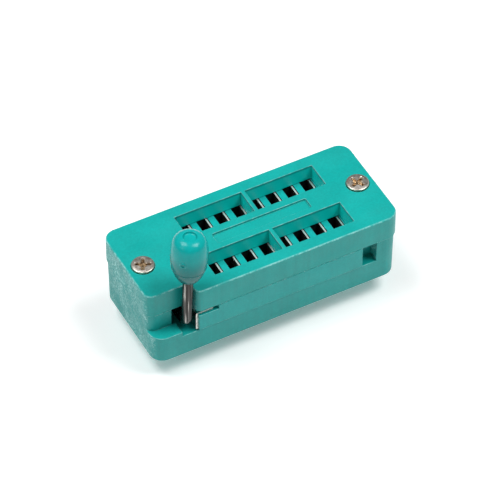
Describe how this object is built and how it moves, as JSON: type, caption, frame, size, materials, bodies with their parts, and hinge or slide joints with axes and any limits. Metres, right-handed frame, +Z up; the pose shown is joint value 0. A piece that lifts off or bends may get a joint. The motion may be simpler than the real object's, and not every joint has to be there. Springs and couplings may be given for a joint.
{
  "type": "zero insertion force test socket",
  "caption": "Zero-insertion-force test socket for narrow dual in-line chips: screwed two-part housing, sliding slotted plate, stamped contacts with solder tails, and a knobbed steel lever.",
  "frame": {"origin": "middle of the pattern of sixteen solder tails, on the plane of the board that the base stands on", "axes": "+X along the block, away from the lever's end; +Y to the back, away from the lever's side; +Z up, out of the board"},
  "size_m": [0.0359, 0.0168, 0.0241],
  "materials": {
    "base_plastic": "moulded glass-filled nylon, satin, teal",
    "cover_plastic": "moulded glass-filled nylon, satin, teal",
    "slider_plastic": "moulded nylon, smooth, teal",
    "knob_plastic": "moulded, glossy, darker teal",
    "rod_steel": "drawn steel wire, dull nickel",
    "clip_steel": "stamped spring steel, bright",
    "screw_steel": "nickel plated, worn",
    "contact_metal": "tin-plated phosphor bronze"
  },
  "bodies": {
    "root": {"base_housing": "base_plastic", "top_cover": "cover_plastic", "cover_screw_left": "screw_steel", "cover_screw_right": "screw_steel", "contact_01": "contact_metal", "contact_02": "contact_metal", "contact_03": "contact_metal", "contact_04": "contact_metal", "contact_05": "contact_metal", "contact_06": "contact_metal", "contact_07": "contact_metal", "contact_08": "contact_metal", "contact_09": "contact_metal", "contact_10": "contact_metal", "contact_11": "contact_metal", "contact_12": "contact_metal", "contact_13": "contact_metal", "contact_14": "contact_metal", "contact_15": "contact_metal", "contact_16": "contact_metal"},
    "slider": {"slider_plate": "slider_plastic", "slider_wear_clip": "clip_steel"},
    "lever": {"lever_rod": "rod_steel", "lever_knob": "knob_plastic"}
  },
  "joints": [
    {"name": "lever_turn", "type": "hinge", "parent": "root", "child": "lever", "pos_m": [-0.01569, 0, 0.0051], "axis": [0, -1, 0], "range_deg": [0, 92.5]},
    {"name": "slider_slide", "type": "slide", "parent": "root", "child": "slider", "axis": [1, 0, 0], "range_m": [0, 0.0012]}
  ],
  "couplings": [
    {"joint": "lever_turn", "follows": "slider_slide", "rad_per_m": 1345.3}
  ]
}
